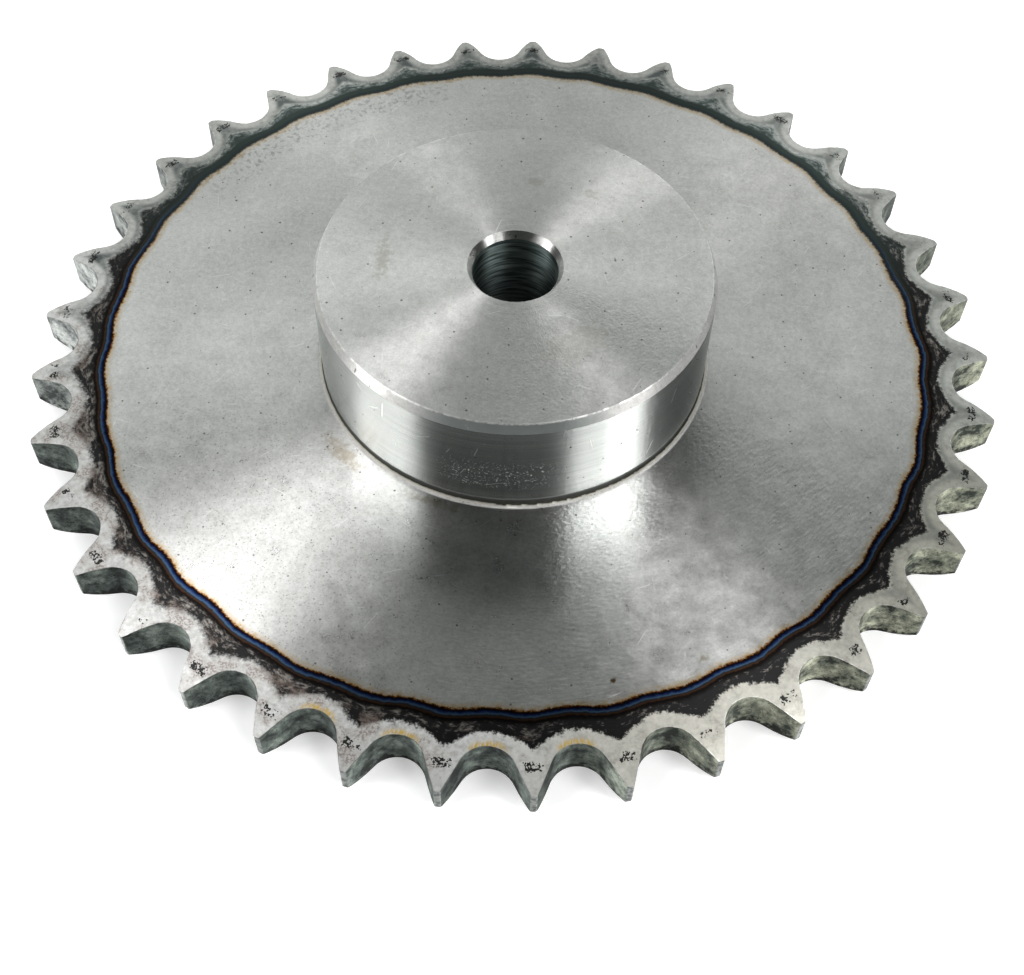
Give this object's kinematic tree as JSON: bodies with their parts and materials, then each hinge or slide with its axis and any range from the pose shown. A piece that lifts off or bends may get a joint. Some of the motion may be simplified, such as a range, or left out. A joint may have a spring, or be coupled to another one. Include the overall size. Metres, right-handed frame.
{
  "type": "roller chain sprocket",
  "caption": "Round toothed wheel for a roller chain, with relieved rim, a stepped hub on one side and a plain pilot bore.",
  "frame": {"origin": "on the bore's axis, in the plane of the plate's plain back face", "axes": "+Z along the bore's axis towards the hub; one tooth is centred on +Y"},
  "size_m": [0.2328, 0.2326, 0.04],
  "materials": {
    "machined_steel": "turned satin steel, teeth induction hardened with a heat-tinted band and scale"
  },
  "bodies": {
    "root": {"sprocket": "machined_steel"}
  },
  "joints": []
}
